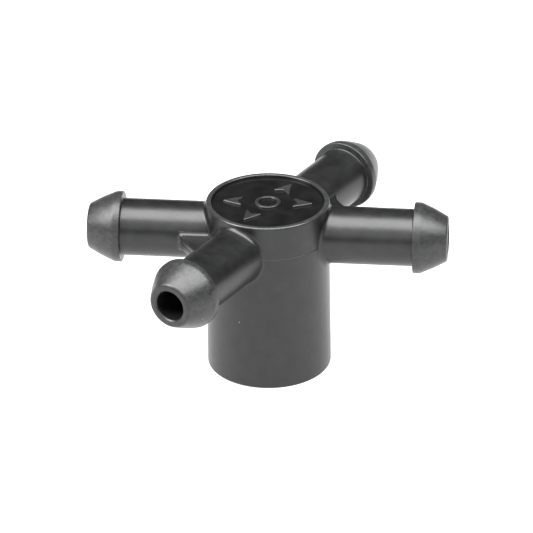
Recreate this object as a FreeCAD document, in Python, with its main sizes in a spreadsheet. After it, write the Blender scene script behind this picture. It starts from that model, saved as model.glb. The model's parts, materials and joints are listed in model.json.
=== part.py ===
"""Four-outlet barbed manifold for micro-irrigation tube, as a parametric FreeCAD document.

Frame: millimetres, +Z up. The origin is the centre of the socket's mouth. The four outlets lie
in one horizontal plane, in two collinear pairs that cross in an X. The +X axis halves the
narrow gap between the two outlets on the right.
"""
import FreeCAD, Part
import math
import os

import Sketcher

# Driving sizes: alias, value, what it sets. Lengths in millimetres, angles in degrees.
SIZES = [
    ("hub_radius", 4.5, "outside radius of the hub around the outlets"),
    ("mouth_radius", 4.56, "outside radius at the socket's mouth, after the draft"),
    ("hub_height", 13.2, "mouth to rim"),
    ("outlet_height", 10.6, "mouth to the outlets' axis plane, which is the mould's parting plane"),
    ("rim_round", 0.1, "rounding of the rim's outer edge"),
    ("mouth_round", 0.2, "rounding of the mouth's outer edge"),
    ("rim_width", 0.4, "flat rim around the recess"),
    ("recess_depth", 0.22, "rim to the face of the disc"),
    ("disc_thickness", 0.4, "plate that carries the marks"),
    ("socket_radius", 3.25, "push-on bore"),
    ("socket_depth", 8.0, "mouth to the stop shoulder"),
    ("lead_in", 0.45, "chamfer at the mouth of the bore"),
    ("spigot_radius", 1.35, "outside of an outlet's spigot, and the port it fills"),
    ("spigot_parting", 0.06, "feed chamber's wall to where two spigots would meet"),
    ("stem_radius", 2.1, "outlet stem"),
    ("bore_radius", 1.1, "water way of an outlet"),
    ("bore_chamfer", 0.1, "edge break at the outlet's mouth"),
    ("barb_start", 10.65, "hub axis to the barb's shoulder"),
    ("barb_radius", 2.6, "crown of the barb"),
    ("barb_land", 0.5, "straight crown behind the cone"),
    ("outlet_reach", 13.15, "hub axis to the outlet's tip"),
    ("tip_radius", 1.62, "end of the cone, before its edge is rounded"),
    ("crown_round", 0.8, "rounding between crown and cone"),
    ("tip_round", 0.3, "rounding of the tip's outer edge"),
    ("shoulder_round", 0.08, "edge break of the barb's shoulder"),
    ("root_fillet", 0.4, "fillet where a stem meets the hub"),
    ("narrow_gap", 64.0, "angle between neighbouring outlets across a web"),
    ("web_reach", 6.4, "hub axis to the outer face of a web"),
    ("web_thickness", 1.1, "web, centred on the parting plane"),
    ("web_fillet", 0.4, "fillet where a web meets a stem"),
    ("web_round", 0.16, "rounding of a web's outer edges"),
    ("mark_height", 0.14, "height of the raised marks"),
    ("arrow_start", 1.7, "disc centre to the tail of an arrow"),
    ("arrow_length", 1.7, "tail to point"),
    ("arrow_width", 1.5, "across the tail"),
    ("arrow_notch", 0.5, "notch in the tail"),
    ("ring_radius", 0.95, "outside of the raised ring at the gate"),
    ("ring_width", 0.28, "width of that ring"),
]

# The feed chamber is as wide as keeps neighbouring spigots apart.
CHAMBER_RADIUS = "(Sizes.spigot_radius / sin(Sizes.narrow_gap / 2 * 1 deg) + Sizes.spigot_parting)"

ORIGIN_PLANES = {"XY": "XY_Plane", "XZ": "XZ_Plane", "YZ": "YZ_Plane"}
ROOT_POINT = (-1, 1)
EPS = 1e-4
# Share of its full height at which a web's fillet stops, so that it has no knife edge.
BLUNT = 0.96


# ---------------------------------------------------------------- document and sketch helpers

def make_sheet(doc):
    """Write the driving sizes into a spreadsheet and give each its alias."""
    sheet = doc.addObject("Spreadsheet::Sheet", "Sizes")
    for row, (alias, value, note) in enumerate(SIZES, start=1):
        sheet.set(f"A{row}", alias)
        sheet.set(f"B{row}", str(value))
        sheet.set(f"C{row}", note)
        sheet.setAlias(f"B{row}", alias)
    doc.recompute()
    return sheet


def new_body(doc, label):
    """Add an empty body under its own label."""
    body = doc.addObject("PartDesign::Body", label)
    body.Label = label
    return body


def origin_plane(body, plane):
    """Find one of the body's own origin planes by its role."""
    role = ORIGIN_PLANES[plane]
    return next(item for item in body.Origin.OriginFeatures if item.Role == role)


def new_sketch(body, name, plane):
    """Attach an empty sketch to one of the body's origin planes."""
    sketch = body.newObject("Sketcher::SketchObject", name)
    sketch.AttachmentSupport = (origin_plane(body, plane), [""])
    sketch.MapMode = "FlatFace"
    return sketch


def turned_sketch(body, name, heading):
    """Attach an empty sketch square to a heading: its x runs to the heading's left, its y up."""
    sketch = new_sketch(body, name, "YZ")
    sketch.AttachmentOffset = FreeCAD.Placement(FreeCAD.Vector(0, 0, 0),
                                                FreeCAD.Rotation(FreeCAD.Vector(0, 1, 0), 0))
    sketch.setExpression("AttachmentOffset.Rotation.Angle", heading)
    return sketch


def bind(sketch, kind, refs, expression):
    """Add one dimension and bind it to the sheet."""
    index = sketch.addConstraint(Sketcher.Constraint(kind, *refs, 1.0))
    sketch.setExpression(f"Constraints[{index}]", expression)


def draw_outline(sketch, corners):
    """Draw a closed outline whose corners are held at the given (x, y) expressions."""
    count = len(corners)
    start = [FreeCAD.Vector(math.cos(2 * math.pi * i / count), math.sin(2 * math.pi * i / count), 0)
             for i in range(count)]
    for i in range(count):
        sketch.addGeometry(Part.LineSegment(start[i], start[(i + 1) % count]), False)
    for i in range(count):
        sketch.addConstraint(Sketcher.Constraint("Coincident", i, 2, (i + 1) % count, 1))
    for i, (across, up) in enumerate(corners):
        for kind, expression in (("DistanceX", across), ("DistanceY", up)):
            bind(sketch, kind, (*ROOT_POINT, i, 1), expression)


def draw_circle(sketch, radius, across="0", up="0"):
    """Draw a circle whose centre is held at the given (x, y) expressions."""
    circle = Part.Circle(FreeCAD.Vector(0, 0, 0), FreeCAD.Vector(0, 0, 1), 1.0)
    index = sketch.addGeometry(circle, False)
    bind(sketch, "DistanceX", (*ROOT_POINT, index, 3), across)
    bind(sketch, "DistanceY", (*ROOT_POINT, index, 3), up)
    bind(sketch, "Radius", (index,), radius)


def revolve(body, name, sketch, axis, kind="Revolution"):
    """Turn a sketch once round one of its own axes, adding or (Groove) taking material."""
    feature = body.newObject(f"PartDesign::{kind}", name)
    feature.Profile = sketch
    feature.ReferenceAxis = (sketch, [axis])
    feature.Angle = 360.0
    body.Document.recompute()
    return feature


def extrude(body, name, sketch, length, kind="Pad", both=True):
    """Extrude a sketch by a whole length, to both sides of its plane or only along its normal."""
    feature = body.newObject(f"PartDesign::{kind}", name)
    feature.Profile = sketch
    feature.Type = "Length"
    feature.Midplane = both
    feature.setExpression("Length", length)
    body.Document.recompute()
    return feature


def round_edges(body, name, wanted, radius):
    """Fillet the edges of the body's tip that wanted(edge) picks."""
    tip = body.Tip
    names = [f"Edge{i}" for i, edge in enumerate(tip.Shape.Edges, start=1) if wanted(edge)]
    if not names:
        raise RuntimeError(f"{body.Label}: {name} finds no edge")
    feature = body.newObject("PartDesign::Fillet", name)
    feature.Base = (tip, names)
    feature.setExpression("Radius", radius)
    body.Document.recompute()
    return feature


def ring_edge(axis, place, radius):
    """Pick the circle of one radius that lies square to an axis at one place along it."""
    def wanted(edge):
        curve = edge.Curve
        if not isinstance(curve, Part.Circle):
            return False
        square = abs(abs(curve.Axis.dot(axis)) - 1) < EPS
        return square and abs(curve.Center.dot(axis) - place) < EPS and abs(curve.Radius - radius) < EPS
    return wanted


def place_on_axis_plane(body, heading):
    """Stand a body on the outlets' axis plane, turned about the hub's axis."""
    body.Placement = FreeCAD.Placement(FreeCAD.Vector(0, 0, 0), FreeCAD.Rotation(FreeCAD.Vector(0, 0, 1), 0))
    body.setExpression("Placement.Base.z", "Sizes.outlet_height")
    body.setExpression("Placement.Rotation.Angle", heading)


def stand_on_disc(body, heading):
    """Stand a body on the disc's face, turned about the hub's axis."""
    body.Placement = FreeCAD.Placement(FreeCAD.Vector(0, 0, 0), FreeCAD.Rotation(FreeCAD.Vector(0, 0, 1), 0))
    body.setExpression("Placement.Base.z", "Sizes.hub_height - Sizes.recess_depth")
    body.setExpression("Placement.Rotation.Angle", heading)


# ---------------------------------------------------------------- the pieces

def make_hub(doc, sheet):
    """Hub and push-on socket in one turned shell, with four ports through its wall."""
    body = new_body(doc, "hub_socket")
    recess = "Sizes.hub_radius - Sizes.rim_width"
    seat = "Sizes.hub_height - Sizes.recess_depth - Sizes.disc_thickness"
    straight_from = "Sizes.outlet_height - Sizes.stem_radius - 2 * Sizes.root_fillet"
    ceiling = "Sizes.outlet_height + Sizes.spigot_radius"
    sketch = new_sketch(body, "HubProfile", "XZ")
    draw_outline(sketch, [
        ("Sizes.socket_radius + Sizes.lead_in", "0"),
        ("Sizes.mouth_radius", "0"),
        ("Sizes.hub_radius", straight_from),
        ("Sizes.hub_radius", "Sizes.hub_height"),
        (recess, "Sizes.hub_height"),
        (recess, seat),
        ("0", seat),
        ("0", ceiling),
        (CHAMBER_RADIUS, ceiling),
        (CHAMBER_RADIUS, "Sizes.socket_depth"),
        ("Sizes.socket_radius", "Sizes.socket_depth"),
        ("Sizes.socket_radius", "Sizes.lead_in"),
    ])
    revolve(body, "HubShell", sketch, "V_Axis")
    up = FreeCAD.Vector(0, 0, 1)
    rim = ring_edge(up, sheet.hub_height, sheet.hub_radius)
    round_edges(body, "RimRound", rim, "Sizes.rim_round")
    mouth = ring_edge(up, 0.0, sheet.mouth_radius)
    round_edges(body, "MouthRound", mouth, "Sizes.mouth_round")
    for side, sign in (("Left", "-"), ("Right", "")):
        port = turned_sketch(body, f"Port{side}Circle", f"{sign}Sizes.narrow_gap / 2")
        draw_circle(port, "Sizes.spigot_radius", up="Sizes.outlet_height")
        extrude(body, f"Port{side}", port, "3 * Sizes.hub_radius", "Pocket")
    return body


def make_disc(doc):
    """Smooth plate let into the recess of the rim; the marks stand on it."""
    body = new_body(doc, "top_disc")
    sketch = new_sketch(body, "DiscProfile", "XZ")
    radius = "Sizes.hub_radius - Sizes.rim_width"
    face = "Sizes.hub_height - Sizes.recess_depth"
    draw_outline(sketch, [("0", f"{face} - Sizes.disc_thickness"), (radius, f"{face} - Sizes.disc_thickness"),
                          (radius, face), ("0", face)])
    revolve(body, "DiscPlate", sketch, "V_Axis")
    return body


def make_outlet(doc, sheet, label, heading):
    """One barbed outlet: a stem with a barb, saddle-fitted to the hub, and a spigot in its port."""
    body = new_body(doc, label)
    reach = "Sizes.outlet_reach"
    crown_end = "Sizes.barb_start + Sizes.barb_land"

    # A slice of the hub, so that the stem's root can be filleted against the real surface.
    hub_slice = new_sketch(body, f"{label}_HubCircle", "XY")
    draw_circle(hub_slice, "Sizes.hub_radius")
    extrude(body, f"{label}_HubSlice", hub_slice, "3 * Sizes.stem_radius")

    profile = new_sketch(body, f"{label}_Profile", "XZ")
    draw_outline(profile, [
        ("0", "0"),
        (reach, "0"),
        (reach, "Sizes.tip_radius"),
        (crown_end, "Sizes.barb_radius"),
        ("Sizes.barb_start", "Sizes.barb_radius"),
        ("Sizes.barb_start", "Sizes.stem_radius"),
        ("0", "Sizes.stem_radius"),
    ])
    revolve(body, f"{label}_Barb", profile, "H_Axis")

    def root(edge):
        box = edge.BoundBox
        middle = edge.valueAt((edge.FirstParameter + edge.LastParameter) / 2)
        on_stem = abs(math.hypot(middle.y, middle.z) - sheet.stem_radius) < 1e-3
        on_hub = abs(math.hypot(middle.x, middle.y) - sheet.hub_radius) < 1e-3
        return on_stem and on_hub and box.XMin > 0

    round_edges(body, f"{label}_RootFillet", root, "Sizes.root_fillet")
    along = FreeCAD.Vector(1, 0, 0)
    crown = ring_edge(along, sheet.barb_start + sheet.barb_land, sheet.barb_radius)
    round_edges(body, f"{label}_CrownRound", crown, "Sizes.crown_round")
    shoulder = ring_edge(along, sheet.barb_start, sheet.barb_radius)
    round_edges(body, f"{label}_ShoulderRound", shoulder, "Sizes.shoulder_round")
    tip = ring_edge(along, sheet.outlet_reach, sheet.tip_radius)
    round_edges(body, f"{label}_TipRound", tip, "Sizes.tip_round")

    hub_cut = new_sketch(body, f"{label}_HubCutCircle", "XY")
    draw_circle(hub_cut, "Sizes.hub_radius")
    extrude(body, f"{label}_Saddle", hub_cut, "4 * Sizes.stem_radius", "Pocket")

    spigot = new_sketch(body, f"{label}_SpigotProfile", "XZ")
    spigot_start = f"0.8 * {CHAMBER_RADIUS}"
    spigot_end = "Sizes.hub_radius + Sizes.root_fillet"
    draw_outline(spigot, [(spigot_start, "0"), (spigot_end, "0"), (spigot_end, "Sizes.spigot_radius"),
                          (spigot_start, "Sizes.spigot_radius")])
    revolve(body, f"{label}_Spigot", spigot, "H_Axis")
    chamber = new_sketch(body, f"{label}_ChamberCircle", "XY")
    draw_circle(chamber, CHAMBER_RADIUS)
    extrude(body, f"{label}_SpigotEnd", chamber, "4 * Sizes.stem_radius", "Pocket")

    bore = new_sketch(body, f"{label}_BoreProfile", "XZ")
    draw_outline(bore, [("0", "0"), (f"{reach} + Sizes.bore_chamfer", "0"),
                        (f"{reach} + Sizes.bore_chamfer", "Sizes.bore_radius + 2 * Sizes.bore_chamfer"),
                        (f"{reach} - Sizes.bore_chamfer", "Sizes.bore_radius"), ("0", "Sizes.bore_radius")])
    revolve(body, f"{label}_Bore", bore, "H_Axis", "Groove")
    place_on_axis_plane(body, heading)
    return body


def make_web(doc, sheet, label, heading, neighbours):
    """Flat web in a narrow gap, filleted to both stems and trimmed to the pieces it joins."""
    body = new_body(doc, f"{label}_blank")
    half_gap = "(Sizes.narrow_gap / 2 * 1 deg)"
    half_thick = "Sizes.web_thickness / 2"
    side_offset = "(Sizes.stem_radius + Sizes.bore_radius) / 2"

    # A fillet of radius f between the plate and a stem: its axis is f above the plate and
    # stem_radius + f from the stem's axis, so a bar along the stem is hollowed by that cylinder.
    # The bar stays a little lower than the line where the fillet would run out to nothing.
    axis_up = f"({half_thick} + Sizes.web_fillet)"
    axis_across = f"sqrt((Sizes.stem_radius + Sizes.web_fillet) ^ 2 - {axis_up} ^ 2)"
    share = "Sizes.stem_radius / (Sizes.stem_radius + Sizes.web_fillet)"
    for side, sign in (("Low", "-"), ("High", "")):
        stem_heading = f"{sign}Sizes.narrow_gap / 2"
        to_web = "-1" if side == "High" else "1"
        level_up = f"{BLUNT} * {share} * {axis_up}"
        bar = turned_sketch(body, f"{label}_Bar{side}Outline", stem_heading)
        near = f"{to_web} * {side_offset}"
        far = f"{to_web} * {axis_across}"
        draw_outline(bar, [(near, f"-{level_up}"), (far, f"-{level_up}"), (far, level_up), (near, level_up)])
        extrude(body, f"{label}_Bar{side}", bar, "1.3 * Sizes.web_reach", both=False)
        for level, up_sign in (("Top", ""), ("Bottom", "-")):
            hollow = turned_sketch(body, f"{label}_{level}{side}Circle", stem_heading)
            draw_circle(hollow, "Sizes.web_fillet", far, f"{up_sign}{axis_up}")
            extrude(body, f"{label}_{level}{side}", hollow, "4 * Sizes.web_reach", "Pocket")

    bar_end = "Sizes.web_reach - Sizes.web_round"
    beyond = new_sketch(body, f"{label}_BeyondOutline", "XY")
    draw_outline(beyond, [(bar_end, "-Sizes.web_reach"), ("2 * Sizes.web_reach", "-Sizes.web_reach"),
                          ("2 * Sizes.web_reach", "Sizes.web_reach"), (bar_end, "Sizes.web_reach")])
    extrude(body, f"{label}_Face", beyond, "4 * Sizes.stem_radius", "Pocket")

    # The plate's sides run inside the stems' walls, where the outlets trim them off.
    corners = []
    for along, sign in (("0.97 * Sizes.hub_radius", "-1"), ("Sizes.web_reach", "-1"),
                        ("Sizes.web_reach", "1"), ("0.97 * Sizes.hub_radius", "1")):
        across = f"{sign} * ({along} * tan{half_gap} - {side_offset} / cos{half_gap})"
        corners.append((along, across))
    plate = new_sketch(body, f"{label}_Outline", "XY")
    draw_outline(plate, corners)
    extrude(body, f"{label}_Plate", plate, "Sizes.web_thickness")

    def outer_edge(edge):
        box = edge.BoundBox
        return box.XMin > sheet.web_reach - EPS and box.ZLength < EPS

    round_edges(body, f"{label}_EdgeRound", outer_edge, "Sizes.web_round")

    hub_cut = new_sketch(body, f"{label}_HubCutCircle", "XY")
    draw_circle(hub_cut, "Sizes.hub_radius")
    extrude(body, f"{label}_HubCut", hub_cut, "4 * Sizes.stem_radius", "Pocket")
    place_on_axis_plane(body, heading)

    web = body
    for index, neighbour in enumerate(neighbours):
        trimmed = doc.addObject("Part::Cut", f"{label}_trim_{index}")
        trimmed.Base = web
        trimmed.Tool = neighbour
        web = trimmed
    web.Label = label
    doc.recompute()
    return web


def make_arrow(doc, label, heading):
    """One flat arrowhead on the disc, pointing out along a heading."""
    body = new_body(doc, label)
    sketch = new_sketch(body, f"{label}_Outline", "XY")
    draw_outline(sketch, [("Sizes.arrow_start", "-Sizes.arrow_width / 2"),
                          ("Sizes.arrow_start + Sizes.arrow_length", "0"),
                          ("Sizes.arrow_start", "Sizes.arrow_width / 2"),
                          ("Sizes.arrow_start + Sizes.arrow_notch", "0")])
    extrude(body, f"{label}_Plate", sketch, "Sizes.mark_height", both=False)
    stand_on_disc(body, heading)
    return body


def make_gate_ring(doc):
    """The raised ring round the gate, at the middle of the disc."""
    body = new_body(doc, "gate_ring")
    sketch = new_sketch(body, "GateRingCircles", "XY")
    draw_circle(sketch, "Sizes.ring_radius")
    draw_circle(sketch, "Sizes.ring_radius - Sizes.ring_width")
    extrude(body, "GateRingPlate", sketch, "Sizes.mark_height", both=False)
    stand_on_disc(body, "0")
    return body


def make_marks(doc, headings):
    """Four flow arrows and the gate ring, as one group of separate solids."""
    marks = [make_arrow(doc, f"arrow_{i}", heading) for i, heading in enumerate(headings)]
    group = doc.addObject("Part::Compound", "flow_marks")
    group.Links = [make_gate_ring(doc), *marks]
    group.Label = "flow_marks"
    doc.recompute()
    return group


# ---------------------------------------------------------------- checks and output

def check(doc, pieces):
    """Stop if any object failed or any piece has no sound shape."""
    for item in doc.Objects:
        if "Invalid" in item.State or "Error" in item.State:
            raise RuntimeError(f"{item.Name} failed: {item.State}")
    for piece in pieces:
        if piece.Shape.isNull() or not piece.Shape.isValid():
            raise RuntimeError(f"{piece.Label} has no valid shape")


def main():
    """Build the document, check it and write one STEP file for each piece."""
    doc = FreeCAD.newDocument("barbed_manifold")
    sheet = make_sheet(doc)
    hub = make_hub(doc, sheet)
    disc = make_disc(doc)
    headings = {
        "outlet_right_front": "-Sizes.narrow_gap / 2",
        "outlet_right_rear": "Sizes.narrow_gap / 2",
        "outlet_left_rear": "180 - Sizes.narrow_gap / 2",
        "outlet_left_front": "180 + Sizes.narrow_gap / 2",
    }
    outlets = {label: make_outlet(doc, sheet, label, heading) for label, heading in headings.items()}
    webs = [
        make_web(doc, sheet, "corner_web_right", "0",
                 [outlets["outlet_right_front"], outlets["outlet_right_rear"]]),
        make_web(doc, sheet, "corner_web_left", "180",
                 [outlets["outlet_left_rear"], outlets["outlet_left_front"]]),
    ]
    marks = make_marks(doc, headings.values())
    pieces = [hub, disc, marks, *outlets.values(), *webs]
    doc.recompute()
    check(doc, pieces)
    os.makedirs("parts", exist_ok=True)
    for piece in pieces:
        piece.Shape.exportStep(f"parts/{piece.Label}.step")
        print(piece.Label, round(piece.Shape.Volume, 3), len(piece.Shape.Solids), piece.Shape.BoundBox)


main()
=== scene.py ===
"""Visual model of a small black push-on manifold with four barbed outlets for irrigation tube.

Blender 4.5, metres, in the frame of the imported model: the origin is the centre of the socket's
mouth, +Z is up and +X halves the narrow gap between the two outlets on the right. The moulding
is turned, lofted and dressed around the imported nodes, which keep the sizes.
"""
import json
import logging
import math
from dataclasses import dataclass
from enum import Enum
from typing import Any, Callable, Iterable, Sequence

import bmesh
import bpy
import numpy as np
from mathutils import Matrix, Vector

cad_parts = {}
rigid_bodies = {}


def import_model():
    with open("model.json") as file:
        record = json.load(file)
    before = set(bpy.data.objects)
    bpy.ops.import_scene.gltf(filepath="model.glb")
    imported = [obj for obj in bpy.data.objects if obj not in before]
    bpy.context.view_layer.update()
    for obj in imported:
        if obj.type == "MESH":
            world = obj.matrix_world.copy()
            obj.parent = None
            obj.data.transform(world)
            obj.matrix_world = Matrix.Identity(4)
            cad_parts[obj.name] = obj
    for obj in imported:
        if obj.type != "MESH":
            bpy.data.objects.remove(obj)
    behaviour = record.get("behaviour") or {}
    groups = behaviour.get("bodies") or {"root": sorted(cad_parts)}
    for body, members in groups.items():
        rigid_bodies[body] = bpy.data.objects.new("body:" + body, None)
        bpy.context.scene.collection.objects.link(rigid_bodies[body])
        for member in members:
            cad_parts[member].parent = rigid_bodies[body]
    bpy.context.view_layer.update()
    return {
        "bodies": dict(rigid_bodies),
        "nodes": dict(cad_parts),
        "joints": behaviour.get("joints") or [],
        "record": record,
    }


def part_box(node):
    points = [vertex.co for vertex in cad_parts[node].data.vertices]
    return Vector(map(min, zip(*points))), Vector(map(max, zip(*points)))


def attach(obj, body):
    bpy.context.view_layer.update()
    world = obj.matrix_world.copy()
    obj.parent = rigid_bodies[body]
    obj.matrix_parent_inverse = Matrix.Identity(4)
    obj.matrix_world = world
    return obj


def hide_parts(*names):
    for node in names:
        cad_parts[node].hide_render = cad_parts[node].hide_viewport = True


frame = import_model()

LOG = logging.getLogger("manifold")
MM = 0.001
BODY = "root"
RUBBED = "rubbed"
HEADING = "heading"
FACE_WEIGHT = 80
ALIKE = 1e-9
DOUBLES = 1e-8

Point = tuple[float, float]
Colour = tuple[float, float, float]
Socket = bpy.types.NodeSocket


class Slot(Enum):
    """The record's material slots."""

    BODY = "moulded_body"
    OUTLET = "moulded_outlet"
    DISC = "polished_disc"


class Side(Enum):
    """The two narrow gaps that a web fills, with the turn from +X."""

    RIGHT = ("right", 0.0)
    LEFT = ("left", math.pi)

    @property
    def label(self) -> str:
        """The side's word in a piece's name."""
        return self.value[0]

    @property
    def turn(self) -> float:
        """The side's heading in radians."""
        return self.value[1]


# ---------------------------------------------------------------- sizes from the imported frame

@dataclass(frozen=True)
class FrameSizes:
    """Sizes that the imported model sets, in metres and radians."""

    mouth_radius: float
    hub_top: float
    disc_radius: float
    disc_top: float
    marks_top: float
    socket_radius: float
    axis_height: float
    crown_radius: float
    outlet_reach: float
    web_reach: float
    headings: dict[str, float]

    @classmethod
    def read(cls, packed: dict[str, Any]) -> "FrameSizes":
        """Read the sizes from the nodes' boxes and the record's mounts.


        Returns:
            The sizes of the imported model.
        """
        mounts = {mount["name"]: mount for mount in packed["record"]["mounts"]}
        barbs = {name: mount for name, mount in mounts.items() if name.startswith("barb_")}
        headings = {
            name.replace("barb", "outlet"): math.atan2(mount["axis"][1], mount["axis"][0])
            for name, mount in barbs.items()
        }
        barb = next(iter(barbs.values()))
        name, heading = next(iter(headings.items()))
        along = Vector((math.cos(heading), math.sin(heading), 0.0))
        reach = max(vertex.co.dot(along) for vertex in packed["nodes"][name].data.vertices)
        return cls(
            mouth_radius=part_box("hub_socket")[1][0],
            hub_top=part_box("hub_socket")[1][2],
            disc_radius=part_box("top_disc")[1][0],
            disc_top=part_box("top_disc")[1][2],
            marks_top=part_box("flow_marks")[1][2],
            socket_radius=mounts["socket"]["dims"]["r_mm"] * MM,
            axis_height=barb["pos_m"][2],
            crown_radius=barb["dims"]["r_mm"] * MM,
            outlet_reach=reach,
            web_reach=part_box("corner_web_right")[1][0],
            headings=headings,
        )

    @property
    def half_gap(self) -> float:
        """Half the narrow angle between two neighbouring outlets."""
        return abs(self.headings["outlet_right_rear"])


# ---------------------------------------------------------------- meshes

@dataclass(frozen=True)
class Corner:
    """One corner of an outline: across or out, up or along, and the radius that rounds it."""

    a: float
    b: float
    round: float = 0.0


def unit(vector: np.ndarray) -> np.ndarray:
    """Scale a vector to length one."""
    return vector / np.linalg.norm(vector)


def turn_between(start: np.ndarray, end: np.ndarray, share: float) -> np.ndarray:
    """Turn from one unit vector towards another by a share of the angle between them."""
    angle = math.acos(float(np.clip(start @ end, -1.0, 1.0)))
    if angle < ALIKE:
        return start
    return (math.sin((1 - share) * angle) * start + math.sin(share * angle) * end) / math.sin(angle)


def rounded_outline(corners: Sequence[Corner], closed: bool, step: float = math.radians(11)) -> list[Point]:
    """Replace each rounded corner of an outline by an arc.

    Args:
        corners: the outline's corners in order.
        closed: whether the last corner joins the first.
        step: largest turn between two points of an arc.

    Returns:
        The outline's points.
    """
    points: list[Point] = []
    count = len(corners)
    for index, corner in enumerate(corners):
        here = np.array((corner.a, corner.b))
        at_end = not closed and index in (0, count - 1)
        if corner.round == 0.0 or at_end:
            points.append((corner.a, corner.b))
            continue
        last, following = corners[index - 1], corners[(index + 1) % count]
        back = unit(np.array((last.a, last.b)) - here)
        ahead = unit(np.array((following.a, following.b)) - here)
        half = math.acos(float(np.clip(back @ ahead, -1.0, 1.0))) / 2
        middle = here + unit(back + ahead) * corner.round / math.sin(half)
        run = corner.round / math.tan(half)
        start = unit(here + back * run - middle)
        end = unit(here + ahead * run - middle)
        steps = max(2, math.ceil((math.pi - 2 * half) / step))
        for i in range(steps + 1):
            place = middle + corner.round * turn_between(start, end, i / steps)
            points.append((float(place[0]), float(place[1])))
    return points


def mesh_from_rows(name: str, rows: Sequence[np.ndarray], wrap: bool,
                   shares: Sequence[float] | None = None) -> bpy.types.Mesh:
    """Skin a list of closed rings, each with the same number of points.

    Args:
        name: the mesh's name.
        rows: one (count, 3) array for each ring.
        wrap: whether the last ring joins the first; otherwise both ends get a cap.
        shares: how rubbed each ring is, kept as an attribute of the mesh.

    Returns:
        A closed mesh with its faces outwards.
    """
    count = len(rows[0])
    points = np.concatenate(rows)
    faces = []
    for i in range(len(rows) if wrap else len(rows) - 1):
        here, there = i * count, ((i + 1) % len(rows)) * count
        for j in range(count):
            k = (j + 1) % count
            faces.append((here + j, here + k, there + k, there + j))
    if not wrap:
        faces.append(tuple(range(count)))
        faces.append(tuple(range((len(rows) - 1) * count, len(rows) * count)))
    mesh = bpy.data.meshes.new(name)
    mesh.from_pydata([tuple(map(float, point)) for point in points], [], faces)
    if shares is not None:
        mesh.attributes.new(RUBBED, "FLOAT", "POINT").data.foreach_set("value", np.repeat(shares, count))
    face_outwards(mesh)
    return mesh


def place_loft(name: str, mesh: bpy.types.Mesh, heading: float, height: float,
               finish: bpy.types.Material) -> bpy.types.Object:
    """Turn a loft to its heading at its height, and give it its finish."""
    mesh.transform(Matrix.Translation((0.0, 0.0, height)) @ Matrix.Rotation(heading, 4, "Z"))
    mesh.materials.append(finish)
    return add_object(name, mesh)


def face_outwards(mesh: bpy.types.Mesh) -> None:
    """Merge a closed mesh's doubles and point its faces outwards."""
    work = bmesh.new()
    work.from_mesh(mesh)
    bmesh.ops.remove_doubles(work, verts=work.verts, dist=DOUBLES)
    bmesh.ops.recalc_face_normals(work, faces=work.faces)
    if work.calc_volume(signed=True) < 0:
        bmesh.ops.reverse_faces(work, faces=work.faces)
    work.to_mesh(mesh)
    work.free()


def add_object(name: str, data: bpy.types.ID) -> bpy.types.Object:
    """Make an object at the origin and link it to the scene."""
    thing = bpy.data.objects.new(name, data)
    bpy.context.scene.collection.objects.link(thing)
    return thing


def curve_object(name: str, runs: Iterable[Sequence[Sequence[float]]], closed: bool) -> bpy.types.Object:
    """Make a curve with one straight-segment spline through each run of (x, y, z) points."""
    curve = bpy.data.curves.new(name, "CURVE")
    curve.dimensions = "3D"
    for run in runs:
        spline = curve.splines.new("POLY")
        spline.points.add(len(run) - 1)
        for spot, place in zip(spline.points, run):
            spot.co = (*place, 1.0)
        spline.use_cyclic_u = closed
    return add_object(name, curve)


def finish_piece(piece: bpy.types.Object, slot: Slot, replaced: Iterable[str],
                 sharp_from: float = math.radians(40)) -> bpy.types.Object:
    """Shade a piece, tie it to the frame and report it.

    Args:
        piece: the finished piece, at the origin.
        slot: the record's slot that it takes its finish from.
        replaced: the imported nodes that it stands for.
        sharp_from: faces that meet at more than this angle keep a sharp edge.

    Returns:
        The same piece.
    """
    mesh = piece.data
    mesh.polygons.foreach_set("use_smooth", [True] * len(mesh.polygons))
    mesh.set_sharp_from_angle(angle=sharp_from)
    weighting = piece.modifiers.new("even_shading", "WEIGHTED_NORMAL")
    weighting.keep_sharp = True
    weighting.weight = FACE_WEIGHT
    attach(piece, BODY)
    replaced = tuple(replaced)
    if replaced:
        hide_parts(*replaced)
    LOG.info("%s: %d faces, slot %s, stands for %s", piece.name, len(mesh.polygons), slot.value,
             ", ".join(replaced) or "no node")
    return piece


# ---------------------------------------------------------------- node trees

class NodeTree:
    """A node tree that nodes are added to by their type's name."""

    prefix = ""

    def __init__(self, tree: bpy.types.NodeTree) -> None:
        """Keep the tree."""
        self.tree = tree

    def add(self, kind: str, links: dict[str | int, Any] | None = None, **settings: Any) -> bpy.types.Node:
        """Add a node.

        Args:
            kind: the node's type, without the tree's own prefix where it has one.
            links: for each input, a socket to link or a value to set.
            settings: the node's own properties.

        Returns:
            The new node.
        """
        known = hasattr(bpy.types, f"{self.prefix}{kind}")
        node = self.tree.nodes.new(f"{self.prefix}{kind}" if known else kind)
        for key, value in settings.items():
            setattr(node, key, value)
        for key, value in (links or {}).items():
            if isinstance(value, Socket):
                self.tree.links.new(value, node.inputs[key])
            else:
                node.inputs[key].default_value = value
        return node


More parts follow.
